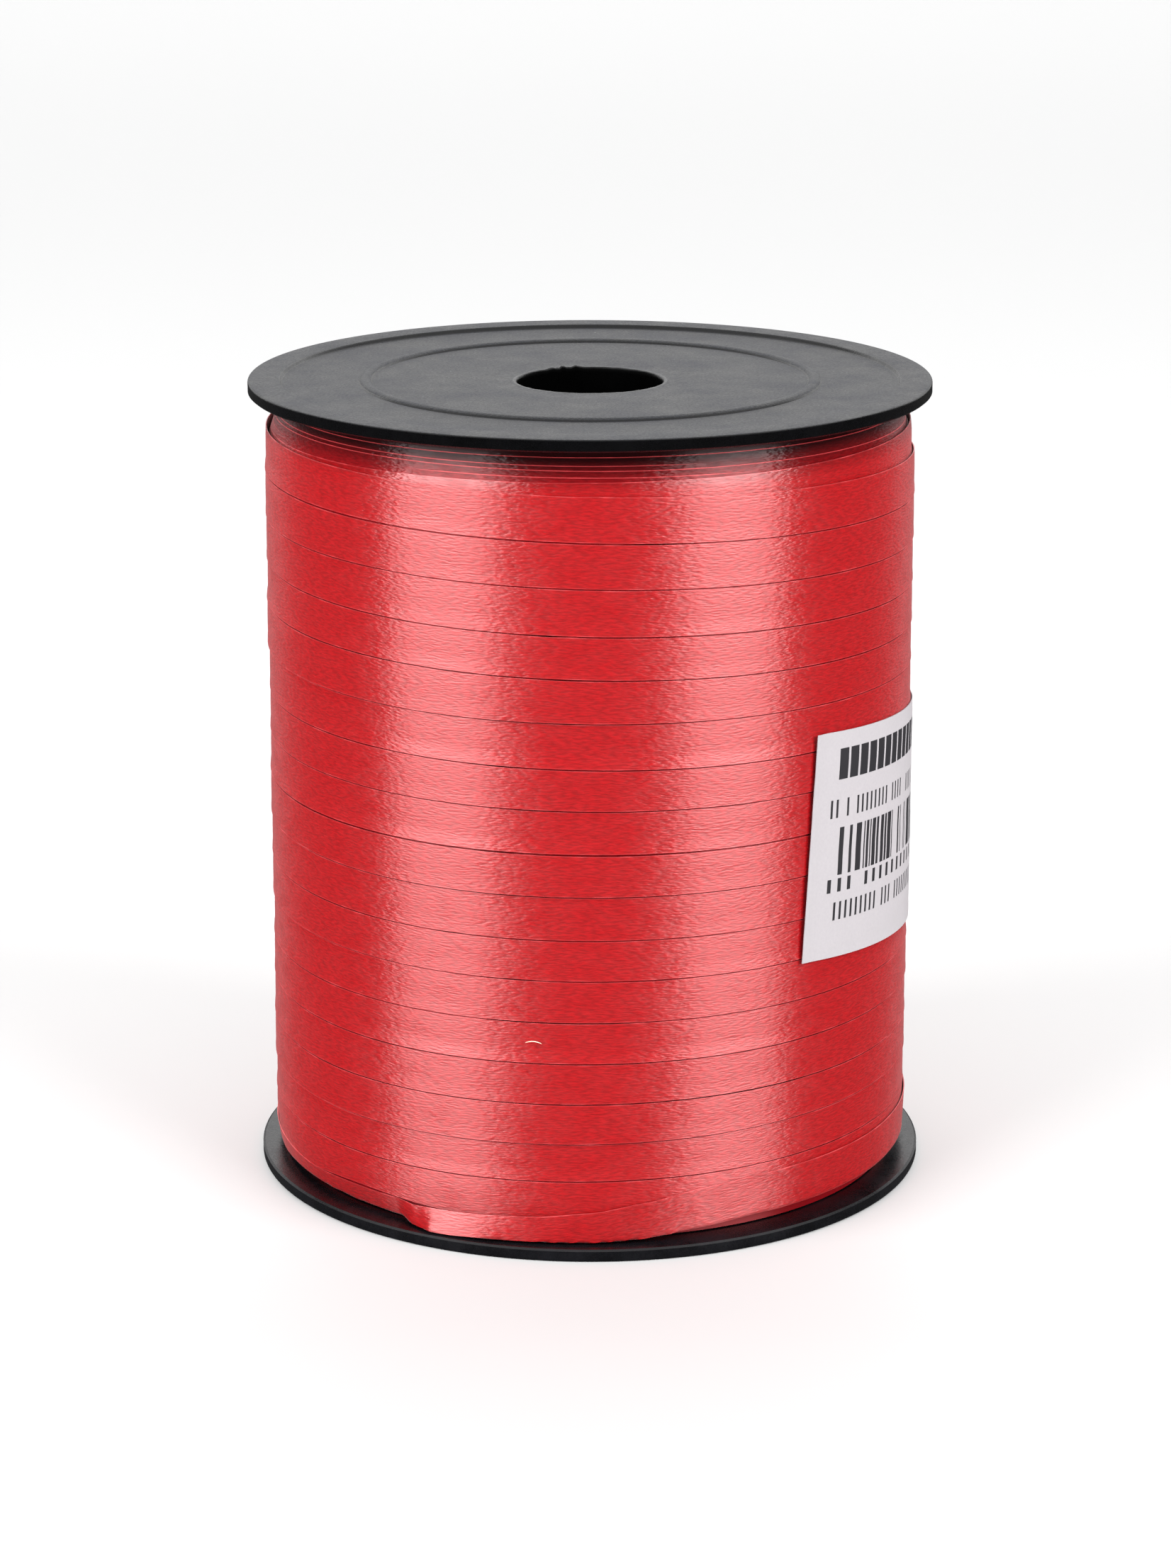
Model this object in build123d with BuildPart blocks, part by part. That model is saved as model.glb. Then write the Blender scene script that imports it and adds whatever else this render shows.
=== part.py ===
from build123d import *
from math import cos, radians, sin, sqrt
import os

os.makedirs("parts", exist_ok=True)

# A spool of curling ribbon: two moulded flanges pressed into a core tube, the ribbon wound on
# the tube, and a paper label stuck on the winding. The spool stands on its bottom flange,
# Z is its axis and z = 0 is the face it stands on. The front is -Y.

# Driving sizes
flange_dia = 82.0
overall_height = 97.6
rim_height = 1.5
bore_dia = 17.5
core_dia = 55.2
winding_dia = 78.4
ribbon_width = 5.0
ribbon_pitch = 5.09
label_width = 38.0
label_height = 27.4

# Clearances
press_gap = 0.02
seat_gap = 0.1
winding_gap = 0.15
ply_gap = 0.02

# Flange details
border_width = 3.9
recess_depth = 0.45
rim_round = 0.35
step_round = 0.15
rib_height = 0.4
rib_round = 0.15
rib_side = 0.1
seat_depth = 0.5
collar_height = 6.0
collar_wall = 1.2
hub_wall = 1.6
lip_round = 0.8
edge_round = 0.3

# Core tube details
core_wall = 1.3

# Winding details
outer_ply = 2.0
seam_depth = 0.15
shoulder_height = 5.4
shoulder_steps = 6
shoulder_inset = 1.9
foot_inset = 1.5

# Loose last turn
turn_thickness = 0.3
turn_start = -76.0
turn_sweep = 152.0
turn_lean = 1.2
turn_lift = 0.25

# Paper label
label_thickness = 0.15
label_turn = 68.0
label_tilt = -4.0
label_middle = 45.7

# Radii and heights that follow
flange_r = flange_dia / 2
bore_r = bore_dia / 2
core_r = core_dia / 2
core_bore_r = core_r - core_wall
winding_r = winding_dia / 2
bulk_r = winding_r - outer_ply
web_face = recess_depth
seat_face = rim_height - seat_depth
collar_r = core_bore_r - press_gap
winding_base = rim_height + winding_gap
winding_top = overall_height - rim_height - winding_gap
shoulder_base = winding_top - shoulder_height
foot_r = winding_r - foot_inset
turn_low = rim_height + turn_lift
turn_top = turn_low + sqrt(ribbon_width**2 - turn_lean**2)
turn_count = int((shoulder_base - turn_top - ply_gap) / ribbon_pitch)
first_turn = shoulder_base - turn_count * ribbon_pitch


def ring(inner_r, outer_r, low, high):
    """A plain ring about Z, between two radii and two heights."""
    with BuildPart() as piece:
        with BuildSketch(Plane.XZ):
            with BuildLine():
                Polyline((inner_r, low), (outer_r, low), (outer_r, high), (inner_r, high), close=True)
            make_face()
        revolve(axis=Axis.Z)
    return piece.part


def rim_edges(piece, radius, height):
    """The circular edges of a flange at one radius and one height."""
    edges = piece.edges().filter_by(GeomType.CIRCLE)
    edges = edges.filter_by(lambda e: abs(e.radius - radius) < 0.01)
    return edges.filter_by(lambda e: abs(e.arc_center.Z - height) < 0.01)


def make_flange():
    """A flange with its outer face at z = 0 and its collars rising into the core tube."""
    border_r = flange_r - border_width
    rib_inner_r = core_bore_r - rib_side
    rib_outer_r = core_r + rib_side
    rib_face = recess_depth - rib_height
    hub_r = bore_r + hub_wall
    collar_top = rim_height + collar_height
    with BuildPart() as piece:
        with BuildSketch(Plane.XZ):
            with BuildLine():
                Polyline(
                    (bore_r, web_face),
                    (rib_inner_r, web_face),
                    (rib_inner_r, rib_face),
                    (rib_outer_r, rib_face),
                    (rib_outer_r, web_face),
                    (border_r, web_face),
                    (border_r, 0),
                    (flange_r, 0),
                    (flange_r, rim_height),
                    (core_r + seat_gap, rim_height),
                    (core_r + seat_gap, seat_face),
                    (collar_r, seat_face),
                    (collar_r, collar_top),
                    (collar_r - collar_wall, collar_top),
                    (collar_r - collar_wall, rim_height),
                    (hub_r, rim_height),
                    (hub_r, collar_top),
                    (bore_r, collar_top),
                    close=True,
                )
            make_face()
        revolve(axis=Axis.Z)
        fillet(rim_edges(piece, bore_r, web_face), lip_round)
        fillet(rim_edges(piece, flange_r, 0), rim_round)
        fillet(rim_edges(piece, flange_r, rim_height), edge_round)
        fillet(rim_edges(piece, border_r, 0), step_round)
        fillet(rim_edges(piece, rib_inner_r, rib_face), rib_round)
        fillet(rim_edges(piece, rib_outer_r, rib_face), rib_round)
        chamfer(rim_edges(piece, collar_r, collar_top), edge_round)
        fillet(rim_edges(piece, bore_r, collar_top), edge_round)
    return piece.part


# Bottom flange
with BuildPart() as bottom_flange:
    add(make_flange())
bottom_flange.part.label = "bottom_flange"
export_step(bottom_flange.part, "parts/bottom_flange.step")

# Top flange, the same moulding turned over
with BuildPart() as top_flange:
    with Locations(Location((0, 0, overall_height), (180, 0, 0))):
        add(make_flange())
top_flange.part.label = "top_flange"
export_step(top_flange.part, "parts/top_flange.step")

# Core tube, seated in the groove of each flange and pressed over its collar
with BuildPart() as core_tube:
    add(ring(core_bore_r, core_r, seat_face, overall_height - seat_face))
core_tube.part.label = "core_tube"
export_step(core_tube.part, "parts/core_tube.step")

# Inner winding, the bulk of the ribbon on the core
with BuildPart() as inner_winding:
    add(ring(core_r + ply_gap, bulk_r, winding_base, winding_top))
inner_winding.part.label = "inner_winding"
export_step(inner_winding.part, "parts/inner_winding.step")

# Outer winding, one ring for each visible turn, with a seam above each and a foot that leans in
# under the loose turn
with BuildPart() as outer_winding:
    with BuildSketch(Plane.XZ):
        with BuildLine():
            seam_r = winding_r - seam_depth
            comb = [(bulk_r + ply_gap, shoulder_base), (bulk_r + ply_gap, winding_base)]
            comb.append((foot_r, winding_base))
            comb.append((foot_r, turn_low))
            comb.append((foot_r + turn_lean, turn_top))
            comb.append((seam_r, first_turn))
            for turn in range(turn_count):
                low = first_turn + turn * ribbon_pitch
                comb.append((winding_r, low))
                comb.append((winding_r, low + ribbon_width))
                comb.append((seam_r, low + ribbon_width))
                comb.append((seam_r, low + ribbon_pitch))
            Polyline(*comb, close=True)
        make_face()
    revolve(axis=Axis.Z)
outer_winding.part.label = "outer_winding"
export_step(outer_winding.part, "parts/outer_winding.step")

# Shoulder winding, the turns under the top flange, each a little smaller than the one below
with BuildPart() as shoulder_winding:
    with BuildSketch(Plane.XZ):
        with BuildLine():
            step_height = shoulder_height / shoulder_steps
            step_inset = shoulder_inset / shoulder_steps
            stair = [(bulk_r + ply_gap, winding_top), (bulk_r + ply_gap, shoulder_base + ply_gap)]
            for step in range(shoulder_steps):
                step_r = winding_r - step * step_inset
                step_low = shoulder_base + max(step * step_height, ply_gap)
                stair.append((step_r, step_low))
                stair.append((step_r, shoulder_base + (step + 1) * step_height))
            Polyline(*stair, close=True)
        make_face()
    revolve(axis=Axis.Z)
shoulder_winding.part.label = "shoulder_winding"
export_step(shoulder_winding.part, "parts/shoulder_winding.step")

# Loose turn, the free end of the ribbon lying slack around the foot of the winding
with BuildPart() as loose_turn:
    start = Plane.XZ.rotated((0, 0, turn_start - 90))
    with BuildSketch(start):
        with BuildLine():
            inner_r = foot_r + ply_gap
            Polyline(
                (inner_r, turn_low),
                (inner_r + turn_thickness, turn_low),
                (inner_r + turn_thickness + turn_lean, turn_top),
                (inner_r + turn_lean, turn_top),
                close=True,
            )
        make_face()
    revolve(axis=Axis.Z, revolution_arc=turn_sweep)
loose_turn.part.label = "loose_turn"
export_step(loose_turn.part, "parts/loose_turn.step")

# Paper label, a rectangle stuck on a little askew and curved round the winding
with BuildPart() as paper_label:
    add(ring(winding_r + ply_gap, winding_r + ply_gap + label_thickness, 0, overall_height))
    out = Vector(sin(radians(label_turn)), -cos(radians(label_turn)), 0)
    face = Plane(origin=(0, 0, label_middle), x_dir=(-out.Y, out.X, 0), z_dir=out)
    with BuildSketch(face):
        Rectangle(2 * winding_r * sin(label_width / 2 / winding_r), label_height, rotation=label_tilt)
    extrude(amount=flange_r, mode=Mode.INTERSECT)
paper_label.part.label = "paper_label"
export_step(paper_label.part, "parts/paper_label.step")
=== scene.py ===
import math

import bpy
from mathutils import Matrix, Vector, noise


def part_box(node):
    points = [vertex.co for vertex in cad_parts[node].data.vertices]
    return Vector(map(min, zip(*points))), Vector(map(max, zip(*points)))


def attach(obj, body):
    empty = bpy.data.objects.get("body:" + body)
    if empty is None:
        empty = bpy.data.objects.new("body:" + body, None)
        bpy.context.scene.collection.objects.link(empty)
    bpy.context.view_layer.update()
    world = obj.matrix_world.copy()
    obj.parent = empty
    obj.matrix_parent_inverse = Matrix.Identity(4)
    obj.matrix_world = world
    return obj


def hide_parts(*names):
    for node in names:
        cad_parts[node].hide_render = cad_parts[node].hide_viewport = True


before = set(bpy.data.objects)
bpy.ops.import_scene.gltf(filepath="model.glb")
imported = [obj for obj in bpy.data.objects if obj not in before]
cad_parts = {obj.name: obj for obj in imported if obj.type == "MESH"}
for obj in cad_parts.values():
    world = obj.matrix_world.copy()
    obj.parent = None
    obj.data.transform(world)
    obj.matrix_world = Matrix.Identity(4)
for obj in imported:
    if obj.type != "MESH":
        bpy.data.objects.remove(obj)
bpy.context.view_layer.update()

mm = 0.001
print("frame loaded,", len(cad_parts), "nodes")

# sizes read from the frame
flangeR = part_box("bottom_flange")[1].x
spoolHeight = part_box("top_flange")[1].z
windingBase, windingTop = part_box("inner_winding")[0].z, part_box("inner_winding")[1].z
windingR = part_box("outer_winding")[1].x
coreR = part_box("core_tube")[1].x
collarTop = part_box("bottom_flange")[1].z


def linear(hexColour):
    # sRGB hex to linear, with alpha
    parts = [int(hexColour[i:i + 2], 16) / 255 for i in (1, 3, 5)]
    return [c / 12.92 if c <= 0.04045 else ((c + 0.055) / 1.055) ** 2.4 for c in parts] + [1.0]


def newMaterial(name):
    mat = bpy.data.materials.new(name)
    mat.use_nodes = True
    mat.node_tree.nodes.clear()
    return mat, mat.node_tree


def addNode(tree, kind, settings=None, inputs=None, links=None):
    # settings go on the node, inputs on its sockets, links are {socket: (node, output)}
    node = tree.nodes.new(kind)
    for name, value in (settings or {}).items():
        setattr(node, name, value)
    for socket, value in (inputs or {}).items():
        node.inputs[socket].default_value = value
    for socket, (source, output) in (links or {}).items():
        tree.links.new(source.outputs[output], node.inputs[socket])
    return node


def grey(value):
    return [value, value, value, 1.0]


def deselectAll():
    bpy.ops.object.select_all(action="DESELECT")


def makeActive(piece):
    deselectAll()
    piece.select_set(True)
    bpy.context.view_layer.objects.active = piece


def applyModifier(piece, kind, **settings):
    makeActive(piece)
    modifier = piece.modifiers.new(kind.lower(), kind)
    for name, value in settings.items():
        setattr(modifier, name, value)
    bpy.ops.object.modifier_apply(modifier=modifier.name)


def finishPiece(piece, materials, replaced=(), smoothAngle=40):
    makeActive(piece)
    bpy.ops.object.transform_apply(location=True, rotation=True, scale=True)
    bpy.ops.object.shade_smooth_by_angle(angle=math.radians(smoothAngle))
    for material in materials:
        piece.data.materials.append(material)
    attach(piece, "root")
    if replaced:
        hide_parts(*replaced)
    print("made", piece.name, len(piece.data.polygons), "faces")


def around(angle, radius, height):
    # angle 0 is the front, -Y, and it grows towards +X
    return Vector((radius * math.sin(angle), -radius * math.cos(angle), height))


def softStep(value, low, high):
    t = min(max((value - low) / (high - low), 0.0), 1.0)
    return t * t * (3 - 2 * t)


def stray(x, row):
    # smooth noise of about -1 to 1, one line of it for each row
    return 1.6 * noise.noise(Vector((x, row * 7.31, 0.37)))


# Materials

# Crimped polypropylene ribbon: extruded film, drawn and embossed with fine cross ripples. It
# is satin: the ripples throw a highlight up and down the winding but keep its sides sharp.
ribbonFilm = {
    "red": "#b2060f",
    "deepRed": "#96040b",
    # painted highlight on the frayed slit edges
    "edgeGlintRed": "#d8484c",
    # painted shade of the top flange over the winding's top: its colour, where it fades in, and how
    # strong
    "paintedShadeRed": "#140002",
    "paintedShadeFrom": 5.0,        # mm below the winding's top where the painted shade under the flange starts
    "paintedShadeTo": 1.4,          # and where that painted shade is darkest
    "paintedShadeShare": 0.95,
    "roughness": 0.39,
    "metal": 0.20,          # the film's lower surface throws back red light
    "anisotropy": 0.95,
    "rippleLength": 1.0,    # mm, along the ribbon
    "ripplePitch": 0.22,    # mm, across it; the real ones are finer, drawn coarser so they show
    "rippleDepth": 0.058,   # mm
    "waveLength": 3.6,      # mm, the slight cockle of the film
    "waveDepth": 0.02,      # mm
    "sheen": 0.10,          # the pale haze at the winding's sides
}


def makeRibbonFilm(name, red, deepRed, specular, edgeGlint=0.0):
    # specular is low where little light gets in, and the last is how far the painted highlight
    # specks on the frayed edges show
    s = ribbonFilm
    unit = 5.0   # one uv unit is the ribbon's width in mm
    mat, tree = newMaterial(name)
    uv = addNode(tree, "ShaderNodeUVMap")
    rippleMap = addNode(tree, "ShaderNodeMapping",
                        inputs={"Rotation": (0, 0, math.radians(-18)),
                                "Scale": (unit / s["rippleLength"], unit / s["ripplePitch"], 1)},
                        links={"Vector": (uv, "UV")})
    ripple = addNode(tree, "ShaderNodeTexNoise",
                     settings={"noise_dimensions": "2D"},
                     inputs={"Scale": 1.0, "Detail": 1.0, "Roughness": 0.5},
                     links={"Vector": (rippleMap, "Vector")})
    cockleMap = addNode(tree, "ShaderNodeMapping",
                        inputs={"Scale": (unit / s["waveLength"], 2 * unit / s["waveLength"], 1)},
                        links={"Vector": (uv, "UV")})
    cockle = addNode(tree, "ShaderNodeTexNoise",
                     settings={"noise_dimensions": "2D"},
                     inputs={"Scale": 1.0, "Detail": 3.0},
                     links={"Vector": (cockleMap, "Vector")})
    waveBump = addNode(tree, "ShaderNodeBump",
                       inputs={"Strength": 0.6, "Distance": s["waveDepth"] * mm},
                       links={"Height": (cockle, "Fac")})
    rippleBump = addNode(tree, "ShaderNodeBump",
                         inputs={"Strength": 1.0, "Distance": s["rippleDepth"] * mm},
                         links={"Height": (ripple, "Fac"), "Normal": (waveBump, "Normal")})
    # the ripples' troughs are a deeper red: partly the embossed film's own tone, partly painted
    # shade of the ripples
    shade = addNode(tree, "ShaderNodeMapRange",
                    inputs={"From Min": 0.3, "From Max": 0.7},
                    links={"Value": (ripple, "Fac")})
    film = addNode(tree, "ShaderNodeMix", settings={"data_type": "RGBA"},
                   inputs={"A": linear(deepRed), "B": linear(red)},
                   links={"Factor": (shade, "Result")})
    # painted shade: the film darkens towards the winding's top, standing in for the flange's shadow
    # over the nested plies
    place = addNode(tree, "ShaderNodeTexCoord")
    height = addNode(tree, "ShaderNodeSeparateXYZ", links={"Vector": (place, "Object")})
    under = addNode(tree, "ShaderNodeMapRange",
                    inputs={"From Min": windingTop - s["paintedShadeFrom"] * mm,
                            "From Max": windingTop - s["paintedShadeTo"] * mm,
                            "To Max": s["paintedShadeShare"]},
                    links={"Value": (height, "Z")})
    body = addNode(tree, "ShaderNodeMix", settings={"data_type": "RGBA"},
                   inputs={"B": linear(s["paintedShadeRed"])},
                   links={"Factor": (under, "Result"), "A": (film, "Result")})
    # painted highlight: the slit edges are a little frayed, and lighter specks along them stand in
    # for their catching the light
    across = addNode(tree, "ShaderNodeSeparateXYZ", links={"Vector": (uv, "UV")})
    fromMiddle = addNode(tree, "ShaderNodeMath", settings={"operation": "SUBTRACT"},
                         inputs={1: 0.5}, links={0: (across, "Y")})
    distance = addNode(tree, "ShaderNodeMath", settings={"operation": "ABSOLUTE"},
                       links={0: (fromMiddle, "Value")})
    nearEdge = addNode(tree, "ShaderNodeMapRange",
                       inputs={"From Min": 0.475, "From Max": 0.497},
                       links={"Value": (distance, "Value")})
    specks = addNode(tree, "ShaderNodeMapRange",
                     inputs={"From Min": 0.5, "From Max": 0.68, "To Min": edgeGlint},
                     links={"Value": (cockle, "Fac")})
    frayAndGlint = addNode(tree, "ShaderNodeMath", settings={"operation": "MULTIPLY"},
                   links={0: (nearEdge, "Result"), 1: (specks, "Result")})
    colour = addNode(tree, "ShaderNodeMix", settings={"data_type": "RGBA"},
                     inputs={"B": linear(s["edgeGlintRed"])},
                     links={"Factor": (frayAndGlint, "Value"), "A": (body, "Result")})
    rough = addNode(tree, "ShaderNodeMapRange",
                    inputs={"From Min": 0.3, "From Max": 0.7,
                            "To Min": s["roughness"] - 0.05, "To Max": s["roughness"] + 0.06},
                    links={"Value": (cockle, "Fac")})
    tangent = addNode(tree, "ShaderNodeTangent", settings={"direction_type": "RADIAL", "axis": "Z"})
    shader = addNode(tree, "ShaderNodeBsdfPrincipled",
                     inputs={"IOR": 1.6, "Specular IOR Level": specular, "Metallic": s["metal"],
                             "Anisotropic": s["anisotropy"], "Anisotropic Rotation": 0.25,
                             "Sheen Weight": s["sheen"], "Sheen Roughness": 0.35},
                     links={"Base Color": (colour, "Result"), "Roughness": (rough, "Result"),
                            "Normal": (rippleBump, "Normal"), "Tangent": (tangent, "Tangent")})
    addNode(tree, "ShaderNodeOutputMaterial", links={"Surface": (shader, "BSDF")})
    return mat


# Black high-impact polystyrene, injection moulded: the outer face keeps the fine grain of a
# spark-eroded mould, so it turns grey at a low angle; the rim and the inner face are smoother.
flangePlastic = {
    "black": "#07070b",
    "dusty": "#232633",
    "grainSize": 0.3,       # mm
    "grainDepth": 0.10,     # mm
    "grainRoughness": 0.48,
    "smoothRoughness": 0.30,
}


def makeFlangePlastic(name, grained, specular=0.5, black=flangePlastic["black"],
                      dusty=flangePlastic["dusty"]):
    s = flangePlastic
    mat, tree = newMaterial(name)
    place = addNode(tree, "ShaderNodeTexCoord")
    grain = addNode(tree, "ShaderNodeTexNoise",
                    inputs={"Scale": 1 / (s["grainSize"] * mm), "Detail": 3.0, "Roughness": 0.65},
                    links={"Vector": (place, "Object")})
    cloud = addNode(tree, "ShaderNodeTexNoise",
                    inputs={"Scale": 1 / (7 * mm), "Detail": 6.0, "Roughness": 0.7},
                    links={"Vector": (place, "Object")})
    tone = addNode(tree, "ShaderNodeMapRange", inputs={"From Min": 0.35, "From Max": 0.7},
                   links={"Value": (cloud, "Fac")})
    body = addNode(tree, "ShaderNodeMix", settings={"data_type": "RGBA"},
                   inputs={"A": linear(black), "B": linear(dusty)},
                   links={"Factor": (tone, "Result")})
    # a few pale specks of dust, a quarter of a millimetre across
    dust = addNode(tree, "ShaderNodeTexVoronoi", inputs={"Scale": 1 / (6 * mm)},
                   links={"Vector": (place, "Object")})
    speck = addNode(tree, "ShaderNodeMath", settings={"operation": "LESS_THAN"},
                    inputs={1: 0.02}, links={0: (dust, "Distance")})
    colour = addNode(tree, "ShaderNodeMix", settings={"data_type": "RGBA"},
                     inputs={"B": linear("#8c8c8e")},
                     links={"Factor": (speck, "Value"), "A": (body, "Result")})
    base = s["grainRoughness"] if grained else s["smoothRoughness"]
    mottle = addNode(tree, "ShaderNodeMath", settings={"operation": "ADD"},
                     links={0: (cloud, "Fac"), 1: (grain, "Fac")})
    rough = addNode(tree, "ShaderNodeMapRange",
                    inputs={"From Min": 0.7, "From Max": 1.3,
                            "To Min": base - 0.12, "To Max": base + 0.12},
                    links={"Value": (mottle, "Value")})
    bump = addNode(tree, "ShaderNodeBump",
                   inputs={"Strength": 1.0 if grained else 0.15, "Distance": s["grainDepth"] * mm},
                   links={"Height": (grain, "Fac")})
    shader = addNode(tree, "ShaderNodeBsdfPrincipled",
                     inputs={"IOR": 1.55, "Specular IOR Level": specular},
                     links={"Base Color": (colour, "Result"), "Roughness": (rough, "Result"),
                            "Normal": (bump, "Normal")})
    addNode(tree, "ShaderNodeOutputMaterial", links={"Surface": (shader, "BSDF")})
    return mat


# Coated white label paper, thermal printed: smooth and faintly cool. The print is a heading
# block, rows of dashes for the small lines and a row of bars, and says nothing.
labelPaper = {
    "white": "#aaa5a8",
    "shade": "#a09c9f",
    "ink": "#232125",
    # heading, small line, bars, the row below them, last line: places are shares of the label,
    # fill is the share of the cells that is printed and solid how much of a cell it covers
    "rows": [
        {"middle": 0.855, "half": 0.068, "left": 0.115, "right": 0.88,
         "cells": 14, "fill": 0.93, "solid": 0.80},
        {"middle": 0.660, "half": 0.040, "left": 0.085, "right": 0.86,
         "cells": 29, "fill": 0.86, "solid": 0.38},
        {"middle": 0.470, "half": 0.105, "left": 0.135, "right": 0.84,
         "cells": 95, "fill": 0.46, "solid": 2.0},
        {"middle": 0.320, "half": 0.030, "left": 0.090, "right": 0.82,
         "cells": 15, "fill": 0.93, "solid": 0.36},
        {"middle": 0.205, "half": 0.040, "left": 0.125, "right": 0.80,
         "cells": 24, "fill": 0.86, "solid": 0.38},
    ],
}


def makeLabelPaper():
    s = labelPaper
    mat, tree = newMaterial("coated_label_paper")

    def maths(operation, first, second=None, third=None):
        inputs = {}
        links = {}
        for socket, value in enumerate((first, second, third)):
            if isinstance(value, tuple):
                links[socket] = value
            elif value is not None:
                inputs[socket] = value
        node = addNode(tree, "ShaderNodeMath", settings={"operation": operation},
                       inputs=inputs, links=links)
        return node, "Value"

    uv = addNode(tree, "ShaderNodeUVMap")
    split = addNode(tree, "ShaderNodeSeparateXYZ", links={"Vector": (uv, "UV")})
    ink = None
    for index, row in enumerate(s["rows"]):
        left, right = row["left"], row["right"]
        width = right - left
        inHeight = maths("COMPARE", (split, "Y"), row["middle"], row["half"])
        inWidth = maths("COMPARE", (split, "X"), (left + right) / 2, width / 2)
        cell = maths("MULTIPLY", maths("SUBTRACT", (split, "X"), left), row["cells"] / width)
        number = maths("FLOOR", cell)
        chance = addNode(tree, "ShaderNodeTexWhiteNoise", settings={"noise_dimensions": "1D"},
                         links={"W": maths("ADD", number, 11.5 * index + 3.0)}), "Value"
        printed = maths("LESS_THAN", chance, row["fill"])
        within = maths("LESS_THAN", maths("FRACT", cell), row["solid"])
        inRow = maths("MULTIPLY", inHeight, inWidth)
        mark = maths("MULTIPLY", inRow, maths("MULTIPLY", printed, within))
        ink = mark if ink is None else maths("MAXIMUM", ink, mark)
    place = addNode(tree, "ShaderNodeTexCoord")
    fibre = addNode(tree, "ShaderNodeTexNoise", inputs={"Scale": 1 / (0.35 * mm), "Detail": 4.0},
                    links={"Vector": (place, "Object")})
    paper = addNode(tree, "ShaderNodeMix", settings={"data_type": "RGBA"},
                    inputs={"A": linear(s["shade"]), "B": linear(s["white"])},
                    links={"Factor": (fibre, "Fac")})
    colour = addNode(tree, "ShaderNodeMix", settings={"data_type": "RGBA"},
                     inputs={"B": linear(s["ink"])}, links={"Factor": ink, "A": (paper, "Result")})
    bump = addNode(tree, "ShaderNodeBump", inputs={"Strength": 0.3, "Distance": 0.004 * mm},
                   links={"Height": (fibre, "Fac")})
    shader = addNode(tree, "ShaderNodeBsdfPrincipled", inputs={"Roughness": 0.6, "IOR": 1.45},
                     links={"Base Color": (colour, "Result"), "Normal": (bump, "Normal")})
    addNode(tree, "ShaderNodeOutputMaterial", links={"Surface": (shader, "BSDF")})
    return mat


# the one film in the light; a darker, duller copy as painted shade where it nests under the flange,
# with more of the painted highlight on its frayed edges; and a darker copy as painted shade for the
# layer below
ribbonMaterial = makeRibbonFilm("crimped_polypropylene_ribbon",
                                ribbonFilm["red"], ribbonFilm["deepRed"], 1.0, 0.3)
shoulderShadedMaterial = makeRibbonFilm("crimped_polypropylene_ribbon_under_flange_painted_shade",
                                  "#a00a13", "#84050d", 0.4, 0.75)
# painted shade: the layer below is a darker, less glossy copy of the film
shadedMaterial = makeRibbonFilm("crimped_polypropylene_ribbon_below_painted_shade", "#960c16", "#7c0610", 0.3)
# grained outer face; smooth rim and inner side, darker partly for their smoother finish and partly
# as painted shade;
# and the bore, painted near black as shade, since hardly any light reaches it
grainMaterial = makeFlangePlastic("moulded_polystyrene_grained", True)
smoothShadedMaterial = makeFlangePlastic("moulded_polystyrene_smooth_painted_shade", False, 0.3, "#08080a", "#121216")
boreShadedMaterial = makeFlangePlastic("moulded_polystyrene_bore_painted_shade", False, 0.2, "#070707", "#0d0d0d")
paperMaterial = makeLabelPaper()
print("materials made")


# Ribbon: strips laid flat as grids and then wound on

winding = {
    "width": 5.0 * mm,
    "thickness": 0.1 * mm,
    "pitch": 5.1 * mm,
    "turns": 16.3,            # down the outside, counted from the front of the first
    "join": 0.55,             # turns before the first, where the nested plies run on into it
    "start": 1.5,             # and where the strip starts, as the outermost nested ply
    "stepsPerTurn": 160,
    "firstSeam": 90.7 * mm,   # the first turn's upper edge, at the front
    "tuck": 5.1 * mm,         # how far the ribbon still rises behind that, towards the flange
    "topSlope": -0.3 * mm,    # extra slope at the front of the first turn, and of the last
    "footSlope": 1.4 * mm,
    "sag": 1.1 * mm,          # the middle turns have slipped down
    "wander": 0.26 * mm,      # each turn's own stray up and down
    "waver": 0.02 * mm,       # and that of its edges
    "swell": 0.12 * mm,       # each turn stands a little proud or sunk
    "lap": 0.09 * mm,         # a turn's lower edge stands out past the next one
    "seam": 0.19 * mm,        # between one turn and the next
    "gap": 0.15 * mm,         # and how far it opens where the ribbon strayed
    "gape": 1.0 * mm,         # the last turn gapes at the left of the loose end's kink
    "gapeAt": -45,            # degrees round
    "gapeWidth": 16,
    "crown": 0.05 * mm,       # of the ribbon's middle
    "sink": 0.18 * mm,        # of the winding below its greatest radius
    "footInset": 0.8 * mm,    # the winding rounds in at the foot
    "footHeight": 5.5 * mm,
}


def windStrip(name, steps, across, length, place):
    # a flat grid becomes a strip: place(along, up) gives each point, both from 0 to 1
    deselectAll()
    bpy.ops.mesh.primitive_grid_add(x_subdivisions=steps, y_subdivisions=across, size=1,
                                    calc_uvs=True)
    strip = bpy.context.object
    strip.name = strip.data.name = name
    for point in strip.data.uv_layers.active.data:
        point.uv.x *= length / winding["width"]
    for vertex in strip.data.vertices:
        vertex.co = place(vertex.co.x + 0.5, vertex.co.y + 0.5)
    return strip


def footInset(height):
    w = winding
    depth = min(max(1 - (height - windingBase) / w["footHeight"], 0.0), 1.0)
    return w["footInset"] * depth * depth


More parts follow.
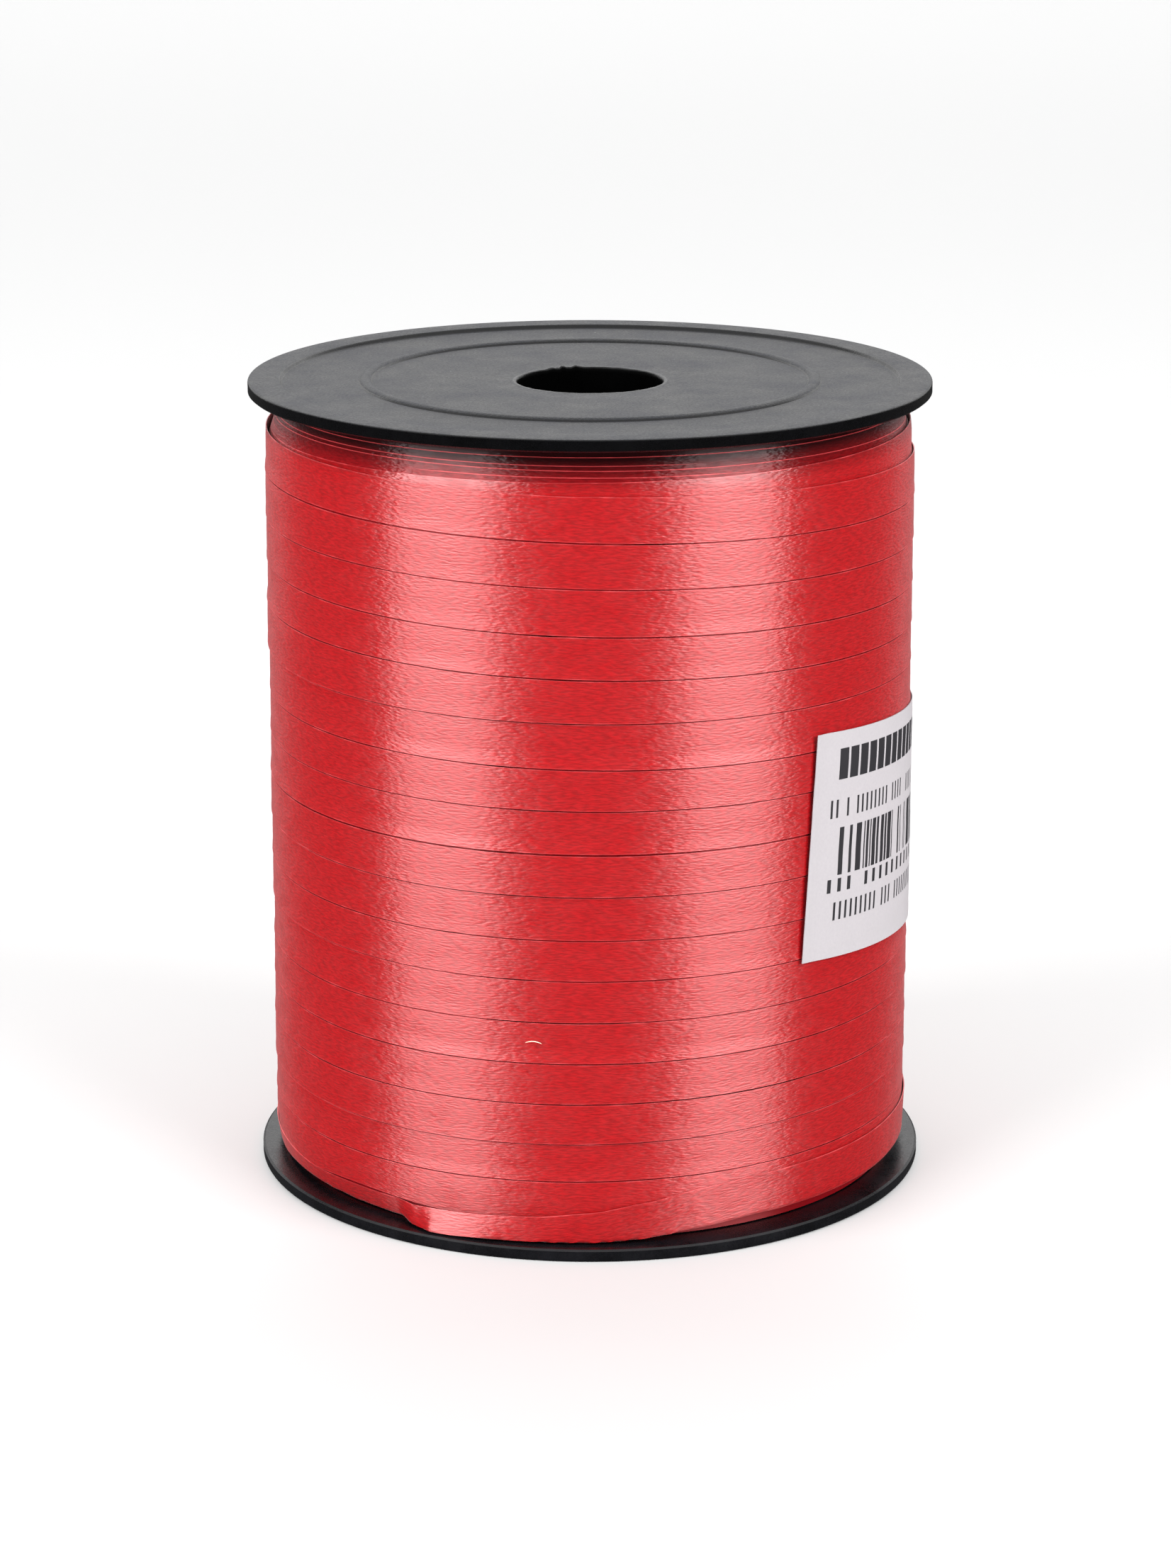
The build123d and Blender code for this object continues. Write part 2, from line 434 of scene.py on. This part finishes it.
def upperEdge(turn):
    w = winding
    angle = turn * math.tau
    down = min(max(turn / 16, 0.0), 1.0)
    slope = w["topSlope"] + (w["footSlope"] - w["topSlope"]) * down
    sag = w["sag"] * max(math.sin(math.pi * down), 0.0) ** 0.8
    own = w["wander"] * stray(turn * 2.3, 1) * softStep(turn, -0.5, 0.6)
    if turn < 0:
        rise = (w["pitch"] / math.tau - w["topSlope"]) * -angle
        return w["firstSeam"] + w["tuck"] * (1 - math.exp(-rise / w["tuck"]))
    return w["firstSeam"] - w["pitch"] * turn + slope * math.sin(angle) - sag + own


def lowerEdge(turn):
    w = winding
    return upperEdge(turn + 1) + w["seam"] + w["gap"] * max(stray(turn * 1.7, 6) - 0.5, 0.0)


def turnRadius(turn):
    w = winding
    inward = 0.5 * mm * softStep(-turn, 0.2, w["join"])
    return windingR - w["sink"] + w["swell"] * stray(turn * 3.1, 2) - inward


# Shoulder: the plies nested under the top flange, each a little smaller and higher
shoulder = {
    "plies": 6.5,             # counted inward from the front of the first turn
    "firstEdge": 91.3 * mm,   # the first ply's upper edge
    "rise": 0.70 * mm,        # from ply to ply
    "sink": 0.15 * mm,        # of the first ply below the turns
    "inset": 0.245 * mm,      # from ply to ply
    "lean": 0.3 * mm,         # the upper edges lean in
    "wander": 0.2 * mm,       # each ply's own stray up and down
    "stepsPerTurn": 144,
}


def nestedPly(ply, up):
    # a ply's upper edge, lower edge and radius
    s = shoulder
    join = winding["join"]
    top = min(s["firstEdge"] + s["rise"] * ply + s["wander"] * stray(ply * 4.1, 8), windingTop)
    low = top - winding["width"]
    radius = windingR - winding["sink"] - s["sink"] - s["inset"] * ply
    radius += 0.05 * mm * stray(ply * 5.3, 9)
    joined = 1 - softStep(ply, join, join + 0.6)      # it runs on into the outer turns
    top += (upperEdge(-join) - top) * joined
    low += (lowerEdge(-join) - low) * joined
    radius += (turnRadius(-join) - radius) * joined
    radius -= s["lean"] * softStep(up, 0.8, 1.0) * (1 - joined)
    return top, low, radius


def placeOuter(along, up):
    w = winding
    turn = -w["start"] + along * (w["turns"] + w["start"])
    angle = turn * math.tau
    if turn < -w["join"]:
        top, low, radius = nestedPly(-turn, up)
    else:
        top, low, radius = upperEdge(turn), lowerEdge(turn), turnRadius(turn)
    if turn > 15.4:      # the last turn
        degrees = math.degrees(angle - 16 * math.tau)
        low += w["gape"] * math.exp(-((degrees - w["gapeAt"]) / w["gapeWidth"]) ** 2)
    height = low + (top + w["waver"] * stray(angle * 6, 3) - low) * up
    lapped = max(turnRadius(turn + 1), radius) + w["lap"]
    lift = (1 - softStep(up, 0.0, 0.3)) * (1 - softStep(-turn, 0.6, 1.1))
    radius += (lapped - radius) * lift + w["crown"] * 4 * up * (1 - up)
    return around(angle, radius - footInset(height), height)


drawnTurns = winding["turns"] + winding["start"]
outerTurns = windStrip("outer_turns", int(drawnTurns * winding["stepsPerTurn"]), 8,
                       drawnTurns * math.tau * windingR, placeOuter)
applyModifier(outerTurns, "SOLIDIFY", thickness=winding["thickness"], offset=-1)
finishPiece(outerTurns, [ribbonMaterial], ["outer_winding"])


# The layer below runs the other way and shows in the gaps
layerBelow = {
    "turns": 17,
    "stepsPerTurn": 120,
    "firstEdge": 92.6 * mm,   # the upper edge where it starts, at the back
    "pitch": 5.12 * mm,
    "wander": 0.15 * mm,
    "sink": 0.38 * mm,
    "drawIn": 0.9 * mm,       # at its top, to lie behind the nested plies
    "drawFrom": 88.5 * mm,
    "drawTo": 92.0 * mm,
}


def placeUnder(along, up):
    s = layerBelow
    turn = along * s["turns"]
    angle = -(turn + 0.5) * math.tau
    top = s["firstEdge"] - s["pitch"] * turn + s["wander"] * stray(turn * 2.1, 5)
    height = max(top - winding["width"] * (1 - up), windingBase)
    radius = windingR - s["sink"] - footInset(height)
    radius -= s["drawIn"] * softStep(height, s["drawFrom"], s["drawTo"])
    return around(angle, radius, height)


underTurns = windStrip("under_turns", layerBelow["turns"] * layerBelow["stepsPerTurn"], 6,
                       layerBelow["turns"] * math.tau * windingR, placeUnder)
makeActive(underTurns)
bpy.ops.object.mode_set(mode="EDIT")
bpy.ops.mesh.select_all(action="SELECT")
bpy.ops.mesh.flip_normals()      # wound the other way, so it starts inside out
bpy.ops.object.mode_set(mode="OBJECT")
finishPiece(underTurns, [shadedMaterial], ["outer_winding"])


# Shoulder: the plies further in than the outer turns' strip goes
innerPlies = shoulder["plies"] - winding["start"]


def placeShoulder(along, up):
    ply = winding["start"] + innerPlies * (1 - along)
    top, low, radius = nestedPly(ply, up)
    return around(-ply * math.tau, radius, low + (top - low) * up)


shoulderTurns = windStrip("shoulder_turns", int(innerPlies * shoulder["stepsPerTurn"]), 8,
                          innerPlies * math.tau * windingR, placeShoulder)
applyModifier(shoulderTurns, "SOLIDIFY", thickness=winding["thickness"], offset=-1)
finishPiece(shoulderTurns, [shoulderShadedMaterial], ["shoulder_winding"])


# Loose end: the last turn droops at the front. On the left it is twisted under the winding,
# then a kink brings it out. A station is degrees round, then in mm the upper edge's height and
# how far it stands out from the winding, the knee's, and how deep the ribbon turns in below it.
looseEnd = {
    "lowest": 1.72,           # mm, just above the flange
    "stations": [
        (-194, 8.0, -0.35, 3.2, -0.8, 0.1),
        (-176, 7.5, -0.10, 3.0, -0.6, 0.1),
        (-130, 6.0, 0.05, 2.7, -0.3, 0.2),
        (-95, 5.1, 0.00, 2.6, -0.4, 0.3),
        (-75, 4.6, -0.15, 2.6, -0.5, 0.3),
        (-60, 4.3, -0.25, 2.5, -0.7, 0.3),
        (-45, 4.5, -0.35, 2.2, -1.15, 0.3),
        (-36, 4.4, -0.35, 2.0, -1.1, 0.2),
        (-32, 4.2, 0.05, 1.75, 0.2, 0.1),
        (-28, 4.4, 0.25, 1.72, 1.15, 0.2),
        (-21, 4.55, 0.30, 1.75, 0.85, 0.5),
        (-10, 4.8, 0.25, 1.8, 0.45, 0.9),
        (0, 5.5, 0.20, 1.8, 0.15, 1.1),
        (9, 6.5, 0.15, 2.0, -0.1, 0.6),
        (19, 7.75, 0.12, 2.75, -0.1, 0.1),
        (30, 8.3, 0.12, 3.3, -0.1, 0.0),
        (60, 8.5, 0.12, 3.5, -0.1, 0.0),
        (120, 8.6, 0.12, 3.6, -0.1, 0.0),
        (176, 8.6, 0.20, 3.6, 0.0, 0.0),
    ],
}


def between(stations, degrees):
    # smooth values between the given stations
    for before, after in zip(stations, stations[1:]):
        if degrees <= after[0]:
            break
    share = min(max((degrees - before[0]) / (after[0] - before[0]), 0.0), 1.0)
    share = 0.5 * share + 0.5 * softStep(share, 0.0, 1.0)
    return [a + (b - a) * share for a, b in zip(before[1:], after[1:])]


def placeLoose(along, up):
    stations = looseEnd["stations"]
    degrees = stations[0][0] + along * (stations[-1][0] - stations[0][0])
    upper, upperOut, knee, kneeOut, tuck = between(stations, degrees)
    width = winding["width"] / mm
    kneeShare = max(1 - (upper - knee) / width, 0.02)
    outer = windingR / mm + 0.05
    if up >= kneeShare:
        share = (up - kneeShare) / (1 - kneeShare)
        height = knee + (upper - knee) * share
        radius = outer + kneeOut + (upperOut - kneeOut) * share
    else:
        length = width * kneeShare * (1 - up / kneeShare)
        inward = tuck + 0.3
        height = knee - 0.12 * math.sin(min(length, 1.57)) + 0.9 * max(length - inward, 0)
        height = max(height, looseEnd["lowest"])
        radius = outer + kneeOut - min(length, inward)
    height += 0.05 * stray(degrees * 0.11, 12)
    return around(math.radians(degrees), radius * mm, height * mm)


span = looseEnd["stations"][-1][0] - looseEnd["stations"][0][0]
looseTurn = windStrip("loose_end", int(span * 1.5), 20, math.radians(span) * windingR, placeLoose)
applyModifier(looseTurn, "SOLIDIFY", thickness=winding["thickness"], offset=-1)
finishPiece(looseTurn, [ribbonMaterial], ["loose_turn"], 60)


# Flanges: a circle drawn out ring by ring through the moulding's section, in mm
flange = {
    "segments": 192,
    "rim": 1.5,           # its height
    "rimRound": 0.3,      # rounding of its outer edge
    "border": 37.1,       # radius of the step inside the raised border
    "recess": 0.45,       # how deep the face lies inside it
    "ribInner": 26.2,
    "ribOuter": 27.7,
    "ribHeight": 0.4,
    "dish": 0.12,         # the face sinks a little more towards the bore
    "dishTo": 14.0,
    "bore": 8.75,         # radius
    "lip": 0.55,          # rounding of the bore's edge
    "hubWall": 1.6,
    "collarWall": 1.2,
    "coreWall": 1.3,
    "boreTo": 8.9,        # radius where the bore's painted shade ends
    "grainFrom": 9.3,     # and where the face's grain starts
}


def flangeSection():
    # (radius, depth below the outer face), from the rim over the outer face to the bore and back
    f = flange
    rim = f["rim"]
    outer = flangeR / mm
    core = coreR / mm
    collar = core - f["coreWall"]
    reach = collarTop / mm
    points = [(outer - 0.25, rim), (outer, rim - 0.2)]
    for step in range(6):
        turn = math.radians(90 * step / 5)
        points.append((outer - f["rimRound"] * (1 - math.cos(turn)),
                       f["rimRound"] * (1 - math.sin(turn))))
    for share in (0.0, 0.12, 0.35, 0.65, 0.88, 1.0):
        points.append((f["border"] + 0.22 - 0.5 * share, f["recess"] * softStep(share, 0, 1)))
    points.append((f["ribOuter"] + 2.5, f["recess"]))
    middle = (f["ribInner"] + f["ribOuter"]) / 2
    half = (f["ribOuter"] - f["ribInner"]) / 2 + 0.12
    for step in range(11):
        share = 1 - step / 5
        bulge = (1 - abs(share) ** 2.6) * f["ribHeight"]
        points.append((middle + half * share, f["recess"] - bulge))
    points.append((f["dishTo"] + 4, f["recess"]))
    for step in range(7):
        share = step / 6
        radius = f["dishTo"] + (f["bore"] + f["lip"] + 0.5 - f["dishTo"]) * share
        points.append((radius, f["recess"] + f["dish"] * softStep(share, 0, 1)))
    face = f["recess"] + f["dish"]
    for step in range(8):
        turn = math.radians(90 * step / 7)
        depth = face - 0.12 * math.sin(2 * turn) + f["lip"] * (1 - math.cos(turn))
        points.append((f["bore"] + f["lip"] * (1 - math.sin(turn)), depth))
    hub = f["bore"] + f["hubWall"]
    inside = collar - f["collarWall"]
    points += [(f["bore"], reach - 0.3), (f["bore"] + 0.3, reach), (hub, reach), (hub, rim)]
    points += [(inside, rim), (inside, reach), (collar - 0.3, reach), (collar, reach - 0.3)]
    points += [(collar, rim), (core + 0.3, rim)]
    points += [(32.0, rim), (38.0, rim), (outer - 0.25, rim)]      # flat, out to the rim
    return points


def makeFlange(name):
    # made with its outer face down, at z = 0
    f = flange
    points = flangeSection()
    deselectAll()
    bpy.ops.mesh.primitive_circle_add(vertices=f["segments"], radius=points[0][0] * mm,
                                      location=(0, 0, points[0][1] * mm))
    piece = bpy.context.object
    piece.name = piece.data.name = name
    bpy.ops.object.transform_apply(location=True)
    bpy.ops.object.mode_set(mode="EDIT")
    bpy.ops.mesh.select_mode(type="EDGE")
    bpy.ops.mesh.select_all(action="SELECT")
    for before, after in zip(points, points[1:]):
        rise = (after[1] - before[1]) * mm
        bpy.ops.mesh.extrude_region_move(TRANSFORM_OT_translate={"value": (0, 0, rise)})
        size = after[0] / before[0]
        bpy.ops.transform.resize(value=(size, size, 1), center_override=(0, 0, 0))
    bpy.ops.mesh.select_all(action="SELECT")
    bpy.ops.mesh.remove_doubles(threshold=0.001 * mm)
    bpy.ops.mesh.normals_make_consistent(inside=False)
    bpy.ops.object.mode_set(mode="OBJECT")
    return piece


# Moulding flash left on one side of the bore's lip, in mm
flash = {
    "from": 184,          # degrees round
    "to": 216,
    "fade": 8,            # degrees, at each end
    "height": 0.26,
    "wave": 0.02,         # the lip's own unevenness, all round
}


def roughenLip(piece, seed):
    for vertex in piece.data.vertices:
        radius = math.hypot(vertex.co.x, vertex.co.y) / mm
        depth = vertex.co.z / mm
        if radius < 10.2 and depth < 1.3:
            degrees = math.degrees(math.atan2(vertex.co.x, -vertex.co.y)) % 360
            near = softStep(degrees, flash["from"], flash["from"] + flash["fade"])
            near *= 1 - softStep(degrees, flash["to"] - flash["fade"], flash["to"])
            near *= 1 - softStep(radius, 9.3, 10.1)
            bump = max(stray(degrees * 0.31, seed), 0.0)
            bump += 0.5 * max(stray(degrees * 0.9, seed + 1), 0.0)
            wave = stray(degrees * 0.2, seed + 2) * (1 - softStep(radius, 9.0, 10.0))
            vertex.co.z -= (flash["height"] * near * bump + flash["wave"] * wave) * mm


def dressFlange(piece, node):
    materials = [grainMaterial, smoothShadedMaterial, boreShadedMaterial]
    finishPiece(piece, materials, [node], 35)
    for face in piece.data.polygons:
        radius = math.hypot(face.center.x, face.center.y)
        outward = abs(face.normal.z) > 0.8
        depth = min(face.center.z, spoolHeight - face.center.z)
        if radius < flange["boreTo"] * mm:
            face.material_index = 2
        elif outward and depth < 1.0 * mm and radius > flange["grainFrom"] * mm:
            face.material_index = 0
        else:
            face.material_index = 1


bottomFlange = makeFlange("bottom_flange_moulding")
roughenLip(bottomFlange, 20)
dressFlange(bottomFlange, "bottom_flange")

topFlange = makeFlange("top_flange_moulding")
roughenLip(topFlange, 30)
makeActive(topFlange)
topFlange.scale = (1, 1, -1)      # turned over, so its faces are turned out again below
topFlange.location = (0, 0, spoolHeight)
bpy.ops.object.transform_apply(location=True, rotation=True, scale=True)
bpy.ops.object.mode_set(mode="EDIT")
bpy.ops.mesh.select_all(action="SELECT")
bpy.ops.mesh.normals_make_consistent(inside=False)
bpy.ops.object.mode_set(mode="OBJECT")
dressFlange(topFlange, "top_flange")


# Label: a paper rectangle curved round the winding, its front edge lifting slightly
label = {
    "width": 38.0 * mm,
    "height": 27.4 * mm,
    "turnedTo": 68.0,      # degrees from the front to its middle
    "middle": 45.7 * mm,   # above the floor
    "tilt": -4.0,          # degrees
    "standOff": 0.2 * mm,
    "thickness": 0.1 * mm,
    "lift": 0.3 * mm,      # of the front edge
}


def placeLabel(along, up):
    lab = label
    x = (along - 0.5) * lab["width"]
    y = (up - 0.5) * lab["height"]
    tilt = math.radians(lab["tilt"])
    sideways = x * math.cos(tilt) - y * math.sin(tilt)
    height = lab["middle"] + x * math.sin(tilt) + y * math.cos(tilt)
    radius = windingR + lab["standOff"]
    edge = 1 - softStep(along, 0.0, 0.07)
    radius += lab["lift"] * edge * edge * (0.55 + 0.45 * up)
    radius += 0.02 * mm * stray(height / mm * 0.6, 15)
    return around(math.radians(lab["turnedTo"]) + sideways / windingR, radius, height)


labelPiece = windStrip("printed_label", 96, 54, winding["width"], placeLabel)
applyModifier(labelPiece, "SOLIDIFY", thickness=label["thickness"], offset=-1)
finishPiece(labelPiece, [paperMaterial], ["paper_label"])


# Fibre: a pale hair caught on the ribbon, 2 mm long
fibre = {
    "from": -11.0,         # degrees round
    "to": -8.2,
    "height": 26.3 * mm,
    "arch": 0.22 * mm,
    "radius": 0.05 * mm,
    "standOff": 0.07 * mm,
}

deselectAll()
bpy.ops.mesh.primitive_cylinder_add(vertices=8, radius=fibre["radius"], depth=1,
                                    end_fill_type="TRIFAN")
fibrePiece = bpy.context.object
fibrePiece.name = fibrePiece.data.name = "stray_fibre"
bpy.ops.object.mode_set(mode="EDIT")
bpy.ops.mesh.select_all(action="SELECT")
bpy.ops.mesh.subdivide(number_cuts=9)
bpy.ops.object.mode_set(mode="OBJECT")
for vertex in fibrePiece.data.vertices:
    share = vertex.co.z + 0.5
    thin = 1 - 0.6 * abs(2 * share - 1) ** 3
    degrees = fibre["from"] + (fibre["to"] - fibre["from"]) * share
    height = fibre["height"] + fibre["arch"] * (math.sin(math.pi * share) - 0.25 * share)
    vertex.co = around(math.radians(degrees), windingR + fibre["standOff"] + vertex.co.x * thin,
                       height + vertex.co.y * thin)

fibreMaterial, tree = newMaterial("pale_cotton_lint")     # matt, cream, a little uneven
place = addNode(tree, "ShaderNodeTexCoord")
uneven = addNode(tree, "ShaderNodeTexNoise", inputs={"Scale": 1 / (0.4 * mm)},
                 links={"Vector": (place, "Object")})
lint = addNode(tree, "ShaderNodeMix", settings={"data_type": "RGBA"},
               inputs={"A": linear("#f0c9a8"), "B": linear("#ffeede")},
               links={"Factor": (uneven, "Fac")})
shader = addNode(tree, "ShaderNodeBsdfPrincipled", inputs={"Roughness": 0.8},
                 links={"Base Color": (lint, "Result")})
addNode(tree, "ShaderNodeOutputMaterial", links={"Surface": (shader, "BSDF")})
finishPiece(fibrePiece, [fibreMaterial])


# CAD pieces that stay: the core tube and the bulk of the winding
for node, material in (("core_tube", smoothShadedMaterial), ("inner_winding", shadedMaterial)):
    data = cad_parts[node].data
    data.materials.clear()
    data.materials.append(material)


# Studio: a white floor, two tall softboxes, a light overhead, one behind and one on the far floor
studio = {
    "floorWhite": "#c2c2c2",
    "floorFrontShade": "#b4b4b4",      # painted shade in front, where the softboxes light it most
    "world": 0.40,
    "reflectedWorld": 0.07,
    "lights": [
        # name, place, where it points, size, watts
        ("softbox_left", (-0.75, -0.56, 0.52), (0, 0, 0.05), (0.72, 0.95), 17.5),
        ("softbox_right", (0.73, -0.58, 0.52), (0, 0, 0.05), (0.68, 0.95), 16.6),
        ("softbox_over", (0.0, 0.90, 2.00), (0, 0.90, 0), (4.0, 4.0), 60.0),
        ("backdrop", (0.0, 3.20, 1.30), (0, 0, 0.30), (7.0, 2.5), 45.0),
        ("floor_wash", (0.0, 1.75, 0.85), (0, 1.75, 0), (2.8, 0.9), 9.0),
    ],
}

deselectAll()
bpy.ops.mesh.primitive_circle_add(vertices=128, radius=1.15, fill_type="NGON", location=(0, 0.5, 0))
floor = bpy.context.object
floor.name = "floor"
bpy.ops.object.transform_apply(location=True)
# paper with painted shade: darker in front of the spool, toned so that it stays even in the light
floorMaterial, tree = newMaterial("matt_white_sweep")
place = addNode(tree, "ShaderNodeTexCoord")
depth = addNode(tree, "ShaderNodeSeparateXYZ", links={"Vector": (place, "Object")})
back = addNode(tree, "ShaderNodeMapRange", settings={"interpolation_type": "SMOOTHSTEP"},
               inputs={"From Min": -0.065, "From Max": 0.0}, links={"Value": (depth, "Y")})
paper = addNode(tree, "ShaderNodeMix", settings={"data_type": "RGBA"},
                inputs={"A": linear(studio["floorFrontShade"]), "B": linear(studio["floorWhite"])},
                links={"Factor": (back, "Result")})
floorShader = addNode(tree, "ShaderNodeBsdfPrincipled", inputs={"Roughness": 0.6},
                      links={"Base Color": (paper, "Result")})
addNode(tree, "ShaderNodeOutputMaterial", links={"Surface": (floorShader, "BSDF")})
floor.data.materials.append(floorMaterial)
floor.visible_glossy = False      # the spool stood in darker surroundings than its white floor

world = bpy.data.worlds.new("studio")
bpy.context.scene.world = world
world.use_nodes = True
tree = world.node_tree
tree.nodes.clear()
path = addNode(tree, "ShaderNodeLightPath")
strength = addNode(tree, "ShaderNodeMix",       # darker where the spool reflects it
                   inputs={"A": studio["world"], "B": studio["reflectedWorld"]},
                   links={"Factor": (path, "Is Glossy Ray")})
seen = addNode(tree, "ShaderNodeMix", inputs={"B": 1.0},
               links={"Factor": (path, "Is Camera Ray"), "A": (strength, "Result")})
background = addNode(tree, "ShaderNodeBackground", inputs={"Color": grey(1.0)},
                     links={"Strength": (seen, "Result")})
addNode(tree, "ShaderNodeOutputWorld", links={"Surface": (background, "Background")})

# the softboxes are flagged off the top flange, which they would burn out when seen from behind
flagged = bpy.data.collections.new("flagged_off")
flagged.objects.link(topFlange)
flagged.collection_objects[0].light_linking.link_state = "EXCLUDE"

for name, place, target, size, watts in studio["lights"]:
    bpy.ops.object.light_add(type="AREA", location=place)
    lamp = bpy.context.object
    lamp.name = name
    lamp.data.shape = "RECTANGLE"
    lamp.data.size, lamp.data.size_y = size
    lamp.data.energy = watts
    if name in ("softbox_left", "softbox_right"):
        lamp.light_linking.receiver_collection = flagged
    lamp.rotation_euler = (Vector(target) - Vector(place)).to_track_quat("-Z", "Y").to_euler()

# the camera stands half a metre away, a little above the spool
camera = {
    "place": (-0.54 * mm, -509.9 * mm, 188.0 * mm),
    "down": 15.49,      # degrees below level
    "lens": 98.6,
}
bpy.ops.object.camera_add(location=camera["place"],
                          rotation=(math.radians(90 - camera["down"]), 0, 0))
cam = bpy.context.object
cam.data.lens = camera["lens"]
cam.data.clip_start = 0.01
bpy.context.scene.camera = cam
bpy.context.scene.view_settings.view_transform = "Standard"
print("studio set")
